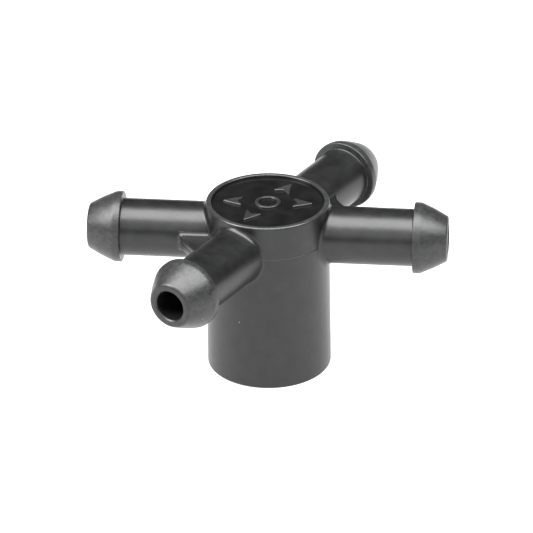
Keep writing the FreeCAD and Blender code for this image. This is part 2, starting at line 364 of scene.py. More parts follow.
class GeometryTree(NodeTree):
    """One geometry node tree with named inputs, ending in Realize Instances and Set Material."""

    prefix = "GeometryNode"

    def __init__(self, name: str, inputs: dict[str, str]) -> None:
        """Make the tree with its geometry sockets, its named inputs and a Finish.

        Args:
            name: the tree's name.
            inputs: the socket type of each named input.
        """
        super().__init__(bpy.data.node_groups.new(name, "GeometryNodeTree"))
        face = self.tree.interface
        face.new_socket(name="Geometry", in_out="INPUT", socket_type="NodeSocketGeometry")
        face.new_socket(name="Geometry", in_out="OUTPUT", socket_type="NodeSocketGeometry")
        for title, kind in {**inputs, "Finish": "NodeSocketMaterial"}.items():
            face.new_socket(name=title, in_out="INPUT", socket_type=kind)
        self.given = self.tree.nodes.new("NodeGroupInput").outputs

    def end_with(self, geometry: Socket) -> None:
        """Realize the instances, set the finish and close the tree."""
        real = self.add("RealizeInstances", {"Geometry": geometry})
        dressed = self.add("SetMaterial", {"Geometry": real.outputs[0], "Material": self.given["Finish"]})
        out = self.tree.nodes.new("NodeGroupOutput")
        self.tree.links.new(dressed.outputs[0], out.inputs[0])

    def make_piece(self, name: str, source: bpy.types.Object, values: dict[str, Any]) -> bpy.types.Object:
        """Run the tree on a source object and keep the result as a plain mesh.

        Args:
            name: the piece's name.
            source: the object whose geometry goes in; it is removed afterwards.
            values: a value for each named input.

        Returns:
            The new piece, with its faces outwards.
        """
        modifier = source.modifiers.new(self.tree.name, "NODES")
        modifier.node_group = self.tree
        sockets = {item.name: item.identifier for item in self.tree.interface.items_tree
                   if item.in_out == "INPUT"}
        for title, value in values.items():
            modifier[sockets[title]] = value
        graph = bpy.context.evaluated_depsgraph_get()
        mesh = bpy.data.meshes.new_from_object(source.evaluated_get(graph), depsgraph=graph)
        mesh.name = name
        source.modifiers.remove(modifier)
        bpy.data.objects.remove(source)
        face_outwards(mesh)
        return add_object(name, mesh)


def turn_outline(name: str, outline: Sequence[Point], closed: bool, values: dict[str, Any],
                 extra: Sequence[str] = (), shape: Callable[[GeometryTree, Socket], Socket] | None = None
                 ) -> bpy.types.Object:
    """Turn an outline of (radius, height) points about the vertical axis.

    Args:
        name: the piece's name.
        outline: the points; an open outline runs from axis to axis.
        closed: whether the last point joins the first.
        values: a value for each named input, with Turns for the steps in a turn.
        extra: further named inputs, all of them numbers.
        shape: works on the turned shell before it is finished.

    Returns:
        The new piece.
    """
    needle, weld = 1e-6, 4e-6
    numbers = dict.fromkeys(extra, "NodeSocketFloat")
    tree = GeometryTree(f"turned_{name}", {"Turns": "NodeSocketInt", **numbers})
    circle = tree.add("CurvePrimitiveCircle", {"Resolution": tree.given["Turns"], "Radius": needle})
    level = tree.add("SetCurveNormal", {"Curve": circle.outputs[0]}, mode="Z_UP")
    shell = tree.add("CurveToMesh", {"Curve": level.outputs[0], "Profile Curve": tree.given["Geometry"]})
    whole = tree.add("MergeByDistance", {"Geometry": shell.outputs[0], "Distance": weld}).outputs[0]
    tree.end_with(shape(tree, whole) if shape else whole)
    source = curve_object(f"{name}_outline", [[(out, -up, 0.0) for out, up in outline]], closed)
    return tree.make_piece(name, source, values)


# ---------------------------------------------------------------- finishes

class ShaderTree(NodeTree):
    """A material's node tree round one Principled shader."""

    prefix = "ShaderNode"

    def __init__(self, name: str) -> None:
        """Make the material with its shader and the piece's own coordinates in millimetres."""
        self.material = bpy.data.materials.new(name)
        self.material.use_nodes = True
        super().__init__(self.material.node_tree)
        self.shader = self.tree.nodes["Principled BSDF"]
        place = self.add("TexCoord").outputs["Object"]
        self.millimetres = self.add("Mapping", {"Vector": place, "Scale": (1 / MM,) * 3}).outputs[0]

    def noise(self, scale: float, detail: float, vector: Socket | None = None) -> Socket:
        """Add a noise over the piece, or over another vector, and return its value."""
        vector = vector or self.millimetres
        return self.add("TexNoise", {"Vector": vector, "Scale": scale, "Detail": detail}).outputs[0]

    def spread(self, value: Socket, low: float = 0.0, high: float = 1.0,
               start: float = 0.3, end: float = 0.7) -> Socket:
        """Map a value between start and end onto low to high."""
        links = {"Value": value, "From Min": start, "From Max": end, "To Min": low, "To Max": high}
        return self.add("MapRange", links).outputs[0]

    def shade(self, factor: Socket, dark: Colour, light: Colour) -> Socket:
        """Blend two colours by a factor."""
        ramp = self.add("ValToRGB", {"Fac": factor})
        ramp.color_ramp.elements[0].color = (*dark, 1.0)
        ramp.color_ramp.elements[1].color = (*light, 1.0)
        return ramp.outputs[0]

    def blend(self, factor: Socket, under: Socket, over: Colour) -> Socket:
        """Lay a plain colour over another one by a factor."""
        node = self.add("Mix", {0: factor}, data_type="RGBA")
        colours = {item.name: item for item in node.inputs if item.type == "RGBA"}
        self.tree.links.new(under, colours["A"])
        colours["B"].default_value = (*over, 1.0)
        return next(item for item in node.outputs if item.type == "RGBA")

    def arithmetic(self, operation: str, first: Any, second: Any) -> Socket:
        """Combine two sockets or values by one operation."""
        return self.add("Math", {0: first, 1: second}, operation=operation).outputs[0]

    def product(self, first: Any, second: Any) -> Socket:
        """Multiply two sockets or values."""
        return self.arithmetic("MULTIPLY", first, second)

    def bump(self, height: Socket, depth: float, after: Socket | None = None) -> Socket:
        """Add a bump of a depth in metres, on top of another one if given."""
        links: dict[str | int, Any] = {"Height": height, "Distance": depth, "Strength": 1.0}
        if after:
            links["Normal"] = after
        return self.add("Bump", links).outputs[0]

    def connect(self, **sockets: Socket) -> None:
        """Link sockets to the shader's inputs, named with _ for a space."""
        for title, socket in sockets.items():
            self.tree.links.new(socket, self.shader.inputs[title.replace("_", " ")])


@dataclass(frozen=True)
class Rubbing:
    """How a tube has rubbed the barbs, where the mesh's own attribute says so."""

    blotch_scale: float = 3.2
    blotch_detail: float = 8.0
    blotch_edges: Point = (0.35, 0.7)
    least: float = 0.25
    cloud_share: float = 0.3
    roughness: Point = (-0.04, 0.10)
    scuff_scale: float = 7.0
    scuff_detail: float = 5.0
    scuff_height: float = 1.6

    def apply(self, tree: ShaderTree, grain: Socket, tone: Socket, roughness: Socket
              ) -> tuple[Socket, Socket, Socket]:
        """Rub a finish.

        Args:
            tree: the finish's tree.
            grain: its grain.
            tone: where it stands between its dark and its light colour.
            roughness: its roughness.

        Returns:
            The rubbed tone, roughness and height.
        """
        rubbed = tree.add("Attribute", attribute_name=RUBBED).outputs["Fac"]
        blotch = tree.noise(self.blotch_scale, self.blotch_detail)
        lift = tree.product(rubbed, tree.spread(blotch, self.least, 1.0, *self.blotch_edges))
        tone = tree.arithmetic("ADD", tree.product(tone, self.cloud_share), lift)
        change = tree.product(rubbed, tree.spread(grain, *self.roughness))
        scuffs = tree.product(rubbed, tree.noise(self.scuff_scale, self.scuff_detail))
        height = tree.arithmetic("ADD", grain, tree.product(scuffs, self.scuff_height))
        return tone, tree.arithmetic("ADD", roughness, change), height


@dataclass(frozen=True)
class Wear:
    """Paler, smoother plastic above one height, where hands and tools touch it, with a painted highlight in
    its paler colour along the rim.
    """

    above: float
    # The paler colour is partly from handling and partly a painted highlight on the rim.
    colour: Colour = (0.030, 0.0305, 0.031)
    fade: float = 0.12 * MM
    patch_scale: float = 2.0
    patch_detail: float = 5.0
    least: float = 0.55
    smoothing: float = 0.20

    def apply(self, tree: ShaderTree, colour: Socket, roughness: Socket) -> tuple[Socket, Socket]:
        """Rub a finish down above the height, paint a highlight into its paler colour there, and return its
        colour and its roughness.
        """
        level = tree.add("SeparateXYZ", {0: tree.millimetres}).outputs[2]
        reached = tree.spread(level, start=self.above / MM, end=(self.above + self.fade) / MM)
        patches = tree.spread(tree.noise(self.patch_scale, self.patch_detail), self.least, 1.0)
        # mask of the paler rim: handling plus a painted highlight
        worn_and_highlighted = tree.product(reached, patches)
        smoother = tree.product(worn_and_highlighted, self.smoothing)
        return tree.blend(worn_and_highlighted, colour, self.colour), tree.arithmetic("SUBTRACT", roughness, smoother)


@dataclass(frozen=True)
class Dust:
    """Specks of dust: a small dot in a few of the cells that fill space."""

    colour: Colour = (0.18, 0.18, 0.175)
    cell_scale: float = 1.1
    dot_size: float = 0.055
    chosen_above: float = 0.955

    def apply(self, tree: ShaderTree, colour: Socket) -> Socket:
        """Lay the specks over a finish and return its colour."""
        cells = tree.add("TexVoronoi", {"Vector": tree.millimetres, "Scale": self.cell_scale})
        dot = tree.arithmetic("LESS_THAN", cells.outputs["Distance"], self.dot_size)
        draw = tree.add("SeparateColor", {0: cells.outputs["Color"]}).outputs[0]
        speck = tree.product(dot, tree.arithmetic("GREATER_THAN", draw, self.chosen_above))
        return tree.blend(speck, colour, self.colour)


@dataclass(frozen=True)
class MouldedPlastic:
    """Satin black moulded polymer with a fine spark-eroded grain."""

    name: str
    dark: Colour = (0.0036, 0.0037, 0.0038)
    light: Colour = (0.009, 0.0091, 0.0093)
    roughness: Point = (0.29, 0.38)
    cloud_scale: float = 1.1
    cloud_detail: float = 4.0
    grain_scale: float = 14.0
    grain_detail: float = 2.0
    grain_depth: float = 0.0032 * MM
    swell_scale: float = 1.6
    swell_detail: float = 1.0
    swell_depth: float = 0.006 * MM
    refraction: float = 1.5
    rubbing: Rubbing | None = None
    wear: Wear | None = None
    dust: Dust = Dust()

    def material(self) -> bpy.types.Material:
        """Build the material."""
        tree = ShaderTree(self.name)
        tone = tree.spread(tree.noise(self.cloud_scale, self.cloud_detail))
        grain = tree.noise(self.grain_scale, self.grain_detail)
        swell = tree.noise(self.swell_scale, self.swell_detail)
        height, roughness = grain, tree.spread(grain, *self.roughness)
        if self.rubbing:
            tone, roughness, height = self.rubbing.apply(tree, grain, tone, roughness)
        colour = tree.shade(tone, self.dark, self.light)
        # paler rim: handling plus a painted highlight
        if self.wear:
            colour, roughness = self.wear.apply(tree, colour, roughness)
        colour = self.dust.apply(tree, colour)
        normal = tree.bump(height, self.grain_depth, tree.bump(swell, self.swell_depth))
        tree.connect(Base_Color=colour, Roughness=roughness, Normal=normal)
        tree.shader.inputs["IOR"].default_value = self.refraction
        return tree.material


@dataclass(frozen=True)
class PolishedDisc:
    """Glossier black face with faint scratches that run outwards."""

    name: str
    dark: Colour = (0.003, 0.003, 0.0031)
    light: Colour = (0.007, 0.007, 0.0072)
    roughness: Point = (0.11, 0.19)
    cloud_scale: float = 0.8
    scratch_depth: float = 0.0009 * MM
    scratch_scale: float = 26.0
    scratch_drift: float = 0.02
    detail: float = 4.0
    refraction: float = 1.46

    def rays(self, tree: ShaderTree) -> Socket:
        """A vector that changes fast round the disc and slowly outwards."""
        flat = tree.add("VectorMath", {0: tree.millimetres, 1: (1.0, 1.0, 0.0)}, operation="MULTIPLY")
        around = tree.add("VectorMath", {0: flat.outputs[0]}, operation="NORMALIZE")
        slow = (self.scratch_drift, self.scratch_drift, 0.0)
        drift = tree.add("VectorMath", {0: flat.outputs[0], 1: slow}, operation="MULTIPLY")
        return tree.add("VectorMath", {0: around.outputs[0], 1: drift.outputs[0]}, operation="ADD").outputs[0]

    def material(self) -> bpy.types.Material:
        """Build the material."""
        tree = ShaderTree(self.name)
        scratch = tree.noise(self.scratch_scale, self.detail, self.rays(tree))
        cloud = tree.noise(self.cloud_scale, self.detail)
        tree.connect(
            Base_Color=tree.shade(tree.spread(cloud), self.dark, self.light),
            Roughness=tree.spread(scratch, *self.roughness),
            Normal=tree.bump(scratch, self.scratch_depth),
        )
        tree.shader.inputs["IOR"].default_value = self.refraction
        return tree.material


@dataclass(frozen=True)
class PaleFloor:
    """White table top, clear from below so that the socket can be looked into."""

    name: str
    colour: Colour = (0.16, 0.16, 0.16)
    roughness: float = 0.8
    glow: float = 1.25

    def material(self) -> bpy.types.Material:
        """Build the material."""
        tree = ShaderTree(self.name)
        tree.shader.inputs["Base Color"].default_value = (*self.colour, 1.0)
        tree.shader.inputs["Roughness"].default_value = self.roughness
        tree.shader.inputs["Emission Color"].default_value = (1.0, 1.0, 1.0, 1.0)
        tree.shader.inputs["Emission Strength"].default_value = self.glow
        below = tree.add("NewGeometry").outputs["Backfacing"]
        clear = tree.add("BsdfTransparent").outputs[0]
        mixed = tree.add("MixShader", {0: below, 1: tree.shader.outputs[0], 2: clear})
        tree.tree.links.new(mixed.outputs[0], tree.tree.nodes["Material Output"].inputs[0])
        return tree.material


# ---------------------------------------------------------------- hub, disc and marks

@dataclass
class HubSocket:
    """The hub and its push-on socket, turned in one shell and pierced by four ports."""

    sizes: FrameSizes
    finish: bpy.types.Material
    rim_width: float = 0.40 * MM
    rim_round: float = 0.16 * MM
    land_round: float = 0.10 * MM
    mouth_round: float = 0.20 * MM
    seat_drop: float = 0.40 * MM
    draft_end: float = 7.7 * MM
    lead_in: float = 0.45 * MM
    socket_depth: float = 8.0 * MM
    spigot_radius: float = 1.35 * MM
    spigot_parting: float = 0.06 * MM
    ceiling_round: float = 0.15 * MM
    chamber_round: float = 0.06 * MM
    shoulder_round: float = 0.10 * MM
    lead_round: float = 0.20 * MM
    lip_round: float = 0.05 * MM
    draft_round: float = 20 * MM
    port_sides: int = 96
    turns: int = 224

    @property
    def radius(self) -> float:
        """Outside radius of the hub."""
        return self.sizes.disc_radius + self.rim_width

    @property
    def chamber_radius(self) -> float:
        """Radius of the feed chamber, just wide enough to keep the spigots apart."""
        return self.spigot_radius / math.sin(self.sizes.half_gap) + self.spigot_parting

    def outline(self) -> list[Point]:
        """The shell's outline from the chamber's ceiling, round the mouth and rim, to the seat."""
        at = self.sizes
        ceiling = at.axis_height + self.spigot_radius
        seat = at.disc_top - self.seat_drop
        corners = [
            Corner(0.0, ceiling),
            Corner(self.chamber_radius, ceiling, self.ceiling_round),
            Corner(self.chamber_radius, self.socket_depth, self.chamber_round),
            Corner(at.socket_radius, self.socket_depth, self.shoulder_round),
            Corner(at.socket_radius, self.lead_in, self.lead_round),
            Corner(at.socket_radius + self.lead_in, 0.0, self.lip_round),
            Corner(at.mouth_radius, 0.0, self.mouth_round),
            Corner(self.radius, self.draft_end, self.draft_round),
            Corner(self.radius, at.hub_top, self.rim_round),
            Corner(at.disc_radius, at.hub_top, self.land_round),
            Corner(at.disc_radius, seat),
            Corner(0.0, seat),
        ]
        return rounded_outline(corners, closed=False)

    def pierce(self, tree: GeometryTree, shell: Socket) -> Socket:
        """Cut one through bore for each collinear pair of outlets.

        Args:
            tree: the tree that turns the shell.
            shell: the turned shell.

        Returns:
            The pierced shell.
        """
        rod = tree.add("MeshCylinder", {"Vertices": self.port_sides, "Radius": tree.given["Port Radius"],
                                        "Depth": tree.given["Port Length"]})
        place = tree.add("ShaderNodeCombineXYZ", {"Z": tree.given["Port Height"]})
        rods = []
        for sign in (1.0, -1.0):
            heading = tree.add("ShaderNodeMath", {0: tree.given["Half Gap"], 1: sign}, operation="MULTIPLY")
            turn = tree.add("ShaderNodeCombineXYZ", {"Y": math.pi / 2, "Z": heading.outputs[0]})
            rods.append(tree.add("Transform", {"Geometry": rod.outputs[0], "Rotation": turn.outputs[0],
                                               "Translation": place.outputs[0]}))
        cut = tree.add("MeshBoolean", {"Mesh 1": shell}, operation="DIFFERENCE", solver="EXACT")
        for item in rods:
            tree.tree.links.new(item.outputs[0], cut.inputs["Mesh 2"])
        return cut.outputs[0]

    def build(self) -> bpy.types.Object:
        """Turn, pierce and finish the hub."""
        ports = {"Port Radius": self.spigot_radius, "Port Length": 3 * self.radius,
                 "Port Height": self.sizes.axis_height, "Half Gap": self.sizes.half_gap}
        values = {"Turns": self.turns, "Finish": self.finish, **ports}
        piece = turn_outline("hub_shell", self.outline(), False, values, list(ports), self.pierce)
        return finish_piece(piece, Slot.BODY, ["hub_socket"])


@dataclass
class TopDisc:
    """The smooth plate in the rim's recess."""

    sizes: FrameSizes
    finish: bpy.types.Material
    thickness: float = 0.40 * MM
    edge_round: float = 0.05 * MM
    clearance: float = 0.004 * MM
    shading_rings: tuple[float, ...] = (0.9, 0.6, 0.3)
    turns: int = 192

    def build(self) -> bpy.types.Object:
        """Turn and finish the disc, with a few rings in its face so that it shades evenly."""
        top = self.sizes.disc_top
        radius = self.sizes.disc_radius - self.clearance
        bottom = top - self.thickness + self.clearance
        corners = [Corner(0.0, bottom), Corner(radius, bottom), Corner(radius, top, self.edge_round)]
        corners += [Corner(radius * share, top) for share in self.shading_rings]
        corners.append(Corner(0.0, top))
        piece = turn_outline("disc_plate", rounded_outline(corners, closed=False), False,
                             {"Turns": self.turns, "Finish": self.finish})
        return finish_piece(piece, Slot.DISC, ["top_disc"])


@dataclass
class FlowMarks:
    """Raised arrowheads over the outlets and a raised ring round the gate."""

    sizes: FrameSizes
    # a lighter copy of the disc's finish: a painted highlight on the marks
    finish: bpy.types.Material
    start: float = 1.7 * MM
    length: float = 1.7 * MM
    width: float = 1.5 * MM
    notch: float = 0.5 * MM
    edge_round: float = 0.09 * MM
    edge_steps: int = 4
    corner_round: float = 0.09 * MM
    corner_step: float = math.radians(20)
    ring_radius: float = 0.95 * MM
    ring_width: float = 0.28 * MM
    ring_turns: int = 96
    sunk: float = 0.02 * MM

    def arrow(self) -> bpy.types.Object:
        """One arrowhead along +X, standing on the disc, with rounded corners and a rounded edge."""
        corners = [
            Corner(self.start, -self.width / 2, self.corner_round),
            Corner(self.start + self.length, 0.0, self.corner_round),
            Corner(self.start, self.width / 2, self.corner_round),
            Corner(self.start + self.notch, 0.0, self.corner_round),
        ]
        outline = rounded_outline(corners, closed=True, step=self.corner_step)
        low, high = self.sizes.disc_top - self.sunk, self.sizes.marks_top
        work = bmesh.new()
        face = work.faces.new([work.verts.new((x, y, low)) for x, y in outline])
        grown = bmesh.ops.extrude_face_region(work, geom=[face])
        lifted = [item for item in grown["geom"] if isinstance(item, bmesh.types.BMVert)]
        bmesh.ops.translate(work, verts=lifted, vec=(0.0, 0.0, high - low))
        top_edges = [edge for edge in work.edges if all(vertex in lifted for vertex in edge.verts)]
        bmesh.ops.bevel(work, geom=top_edges, offset=self.edge_round, segments=self.edge_steps,
                        profile=0.5, affect="EDGES", clamp_overlap=True)
        bmesh.ops.recalc_face_normals(work, faces=work.faces)
        mesh = bpy.data.meshes.new("arrowhead")
        work.to_mesh(mesh)
        work.free()
        return add_object("arrowhead", mesh)

    def build_arrows(self) -> bpy.types.Object:
        """Set one arrowhead over each outlet."""
        headings = list(self.sizes.headings.values())
        seats = bpy.data.meshes.new("arrow_seats")
        seats.from_pydata([(0.0, 0.0, 0.0)] * len(headings), [], [])
        seats.attributes.new(HEADING, "FLOAT", "POINT").data.foreach_set("value", headings)
        tree = GeometryTree("arrows_on_headings", {"Arrow": "NodeSocketObject"})
        arrow = tree.add("ObjectInfo", {"Object": tree.given["Arrow"]})
        heading = tree.add("InputNamedAttribute", {"Name": HEADING}, data_type="FLOAT")
        turn = tree.add("ShaderNodeCombineXYZ", {"Z": heading.outputs[0]})
        placed = tree.add("InstanceOnPoints", {"Points": tree.given["Geometry"],
                                               "Instance": arrow.outputs["Geometry"],
                                               "Rotation": turn.outputs[0]})
        tree.end_with(placed.outputs[0])
        master = self.arrow()
        piece = tree.make_piece("flow_arrows", add_object("arrow_seats", seats),
                                {"Arrow": master, "Finish": self.finish})
        bpy.data.objects.remove(master)
        return finish_piece(piece, Slot.DISC, ["flow_marks"])

    def build_ring(self) -> bpy.types.Object:
        """Turn the ring round the gate."""
        low, high = self.sizes.disc_top - self.sunk, self.sizes.marks_top
        inner = self.ring_radius - self.ring_width
        corners = [Corner(inner, low), Corner(self.ring_radius, low),
                   Corner(self.ring_radius, high, self.edge_round), Corner(inner, high, self.edge_round)]
        piece = turn_outline("gate_ring", rounded_outline(corners, closed=True), True,
                             {"Turns": self.ring_turns, "Finish": self.finish})
        return finish_piece(piece, Slot.DISC, ["flow_marks"])


# ---------------------------------------------------------------- outlets and webs

@dataclass
class Outlet:
    """One barbed outlet, lofted ring by ring from its spigot to its tip and back down its bore."""

    name: str
    sizes: FrameSizes
    hub: HubSocket
    finish: bpy.types.Material
    stem_radius: float = 2.10 * MM
    bore_radius: float = 1.10 * MM
    root_fillet: float = 0.40 * MM
    barb_start: float = 10.65 * MM
    land: float = 0.50 * MM
    tip_radius: float = 1.62 * MM
    tip_round: float = 0.30 * MM
    crown_round: float = 0.80 * MM
    shoulder_round: float = 0.08 * MM
    heel_fillet: float = 0.10 * MM
    cone_swell: float = 0.05 * MM
    bore_chamfer: float = 0.10 * MM
    mouth_round: float = 0.04 * MM
    swell_round: float = 6 * MM
    stem_stops: Point = (5.4 * MM, 8.0 * MM)
    port_clearance: float = 0.003 * MM
    rub_margin: float = 0.02 * MM
    tip_rub: float = 0.5
    fillet_steps: int = 8
    around: int = 160

    @property
    def angles(self) -> np.ndarray:
        """The angles of a ring's points."""
        return np.linspace(0.0, 2 * math.pi, self.around, endpoint=False)

    def ring(self, along: np.ndarray | float, radius: float) -> np.ndarray:
        """One ring about the outlet's axis, at a place that may vary round it."""
        along = np.broadcast_to(along, self.angles.shape)
        return np.stack([along, radius * np.cos(self.angles), radius * np.sin(self.angles)], axis=1)

    def ring_on(self, drum: float, radius: float) -> np.ndarray:
        """One ring where the outlet meets a drum about the hub's axis."""
        return self.ring(np.sqrt(drum ** 2 - (radius * np.cos(self.angles)) ** 2), radius)

    def root_rings(self) -> list[np.ndarray]:
        """The root fillet: a ball of the fillet's radius rolls round between hub and stem."""
        grown, drum = self.stem_radius + self.root_fillet, self.hub.radius + self.root_fillet
        middle = self.ring_on(drum, grown)
        on_hub = middle * np.array((self.hub.radius / drum, self.hub.radius / drum, 1.0))
        on_stem = self.ring(middle[:, 0], self.stem_radius)
        rings = []
        for step in range(self.fillet_steps + 1):
            share = step / self.fillet_steps
            ring = [centre + self.root_fillet * turn_between(unit(a - centre), unit(b - centre), share)
                    for centre, a, b in zip(middle, on_hub, on_stem)]
            rings.append(np.array(ring))
        return rings

    def barb_outline(self) -> list[Point]:
        """(along, radius) points of the stem, the barb, the tip and the bore's mouth."""
        reach, crown = self.sizes.outlet_reach, self.sizes.crown_radius
        cone_start = self.barb_start + self.land
        base, halfway = self.stem_stops
        corners = [
            Corner(base, self.stem_radius),
            Corner(halfway, self.stem_radius),
            Corner(self.barb_start, self.stem_radius, self.heel_fillet),
            Corner(self.barb_start, crown, self.shoulder_round),
            Corner(cone_start, crown, self.crown_round),
            Corner((cone_start + reach) / 2, (crown + self.tip_radius) / 2 + self.cone_swell,
                   self.swell_round),
            Corner(reach, self.tip_radius, self.tip_round),
            Corner(reach, self.bore_radius + self.bore_chamfer, self.mouth_round),
            Corner(reach - self.bore_chamfer, self.bore_radius, self.mouth_round),
            Corner(reach - 4 * self.bore_chamfer, self.bore_radius),
            Corner(halfway, self.bore_radius),
            Corner(base, self.bore_radius),
        ]
        return rounded_outline(corners, closed=False)

    def rubbed_share(self, along: float, radius: float) -> float:
        """How much a ring has been rubbed by the tube: all of the barb, less of the tip, none of the bore."""
        on_stem = along < self.barb_start - self.rub_margin
        in_bore = radius < self.bore_radius + self.rub_margin
        if on_stem or in_bore:
            return 0.0
        return self.tip_rub if along > self.sizes.outlet_reach - self.rub_margin else 1.0

    def build(self) -> bpy.types.Object:
        """Loft, place and finish the outlet."""
        spigot = self.hub.spigot_radius - self.port_clearance
        rows = [self.ring_on(self.hub.chamber_radius, self.bore_radius),
                self.ring_on(self.hub.chamber_radius, spigot),
                self.ring_on(self.hub.radius, spigot)]
        rows += self.root_rings()
        barb = self.barb_outline()
        rows += [self.ring(along, radius) for along, radius in barb]
        shares = [0.0] * (len(rows) - len(barb))
        shares += [self.rubbed_share(along, radius) for along, radius in barb]
        mesh = mesh_from_rows(self.name, rows, wrap=True, shares=shares)
        piece = place_loft(f"barbed_{self.name}", mesh, self.sizes.headings[self.name],
                           self.sizes.axis_height, self.finish)
        return finish_piece(piece, Slot.OUTLET, [self.name])


@dataclass
class CornerWeb:
    """The filleted plate in a narrow gap, lofted column by column from one stem to the other."""

    side: Side
    sizes: FrameSizes
    hub: HubSocket
    finish: bpy.types.Material
    stem_radius: float = Outlet.stem_radius
    thickness: float = 1.10 * MM
    fillet: float = 0.40 * MM
    edge_round: float = 0.16 * MM
    wall_fillet: float = 0.45 * MM
    inside: float = 4.30 * MM
    plate_start: float = 4.95 * MM
    hub_rise: float = 0.9
    sunk_share: float = 0.97
    contact_margin: float = 0.01 * MM
    wall_levels: tuple[float, ...] = (0.66, 0.33, 0.05)
    columns: int = 96
    hub_points: int = 9
    plate_points: int = 6
    edge_steps: int = 6
    wall_passes: int = 20
    crest_passes: int = 6

    @property
    def node(self) -> str:
        """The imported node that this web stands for."""
        return f"corner_web_{self.side.label}"

    @property
    def fillet_up(self) -> float:
        """Height of the fillet's axis over the parting plane."""
        return self.thickness / 2 + self.fillet

    @property
    def fillet_across(self) -> float:
        """Distance of the fillet's axis from the stem's axis, in plan."""
        return math.sqrt((self.stem_radius + self.fillet) ** 2 - self.fillet_up ** 2)

    @property
    def contact_across(self) -> float:
        """Distance of the fillet's line on the stem from the stem's axis, in plan."""
        return self.fillet_across * self.stem_radius / (self.stem_radius + self.fillet)

    def stem_distance(self, x: float, y: float) -> float:
        """Distance of a point in plan from the nearer stem's axis."""
        return x * math.sin(self.sizes.half_gap) - abs(y) * math.cos(self.sizes.half_gap)

    def top(self, x: float, y: float) -> float:
        """Height of the web's upper face over the parting plane."""
        near_stem = self.fillet_across - max(self.stem_distance(x, y), self.contact_across)
        near_hub = min(self.hub.radius + self.fillet - math.hypot(x, y), self.hub_rise * self.fillet)
        rise = max(near_stem, near_hub, 0.0)
        return self.fillet_up - math.sqrt(self.fillet ** 2 - rise ** 2)

    def last_y(self, x: float) -> float:
        """Where a column just inside the stem crosses a line across the gap."""
        inside_stem = self.sunk_share * self.contact_across
        return (x * math.sin(self.sizes.half_gap) - inside_stem) / math.cos(self.sizes.half_gap)

    def hollow_span(self, z: float) -> Point:
        """From which y to which y the outer wall is hollowed, at one height."""
        sine, cosine = math.sin(self.sizes.half_gap), math.cos(self.sizes.half_gap)
        contact = math.sqrt(self.stem_radius ** 2 - z ** 2) - self.contact_margin
        start = ((self.sizes.web_reach + self.wall_fillet) * sine - contact - self.wall_fillet) / cosine
        return start, start + self.wall_fillet * cosine

    def wall_x(self, y: float, z: float) -> float:
        """The outer wall at one height: straight, then hollowed where it runs into the stem."""
        start, end = self.hollow_span(z)
        across = min(max(abs(y) - start, 0.0), end - start)
        return self.sizes.web_reach + self.wall_fillet - math.sqrt(self.wall_fillet ** 2 - across ** 2)

    def wall_at(self, share: float, z: float) -> float:
        """Where a column meets the outer wall at one height."""
        out = self.sizes.web_reach
        for _ in range(self.wall_passes):
            out = self.wall_x(share * self.last_y(out), z)
        return out

    def column(self, share: float) -> np.ndarray:
        """One closed ring from the hub to the outer wall and back, at a share of the gap's width.

        Args:
            share: -1 inside one stem, 1 inside the other.

        Returns:
            The ring's points about the parting plane.
        """
        bend = self.edge_round
        out = self.wall_at(share, 0.0)
        for _ in range(self.crest_passes):
            out = self.wall_at(share, self.top(out - bend, share * self.last_y(out - bend)))
        inner = np.concatenate([np.linspace(self.inside, self.plate_start, self.hub_points, endpoint=False),
                                np.linspace(self.plate_start, out - bend, self.plate_points)])
        face = [(x, share * self.last_y(x), self.top(x, share * self.last_y(x))) for x in inner]
        crest = self.top(out - bend, share * self.last_y(out - bend))
        edge = []
        for angle in np.linspace(0.0, math.pi / 2, self.edge_steps + 1)[1:]:
            z = crest - bend * (1 - math.cos(angle))
            x = self.wall_at(share, z) - bend * (1 - math.sin(angle))
            edge.append((x, share * self.last_y(x), z))
        wall = []
        for level in self.wall_levels:
            z = level * (crest - bend)
            x = self.wall_at(share, z)
            wall.append((x, share * self.last_y(x), z))
        upper = face + edge + wall
        lower = [(x, y, -z) for x, y, z in reversed(upper)]
        return np.array(upper + lower)

    def build(self) -> bpy.types.Object:
        """Loft, place and finish the web."""
        shares = np.sin(np.linspace(-0.5, 0.5, self.columns + 1) * math.pi)
        mesh = mesh_from_rows(self.node, [self.column(float(share)) for share in shares], wrap=False)
        piece = place_loft(f"filleted_web_{self.side.label}", mesh, self.side.turn,
                           self.sizes.axis_height, self.finish)
        return finish_piece(piece, Slot.BODY, [self.node])


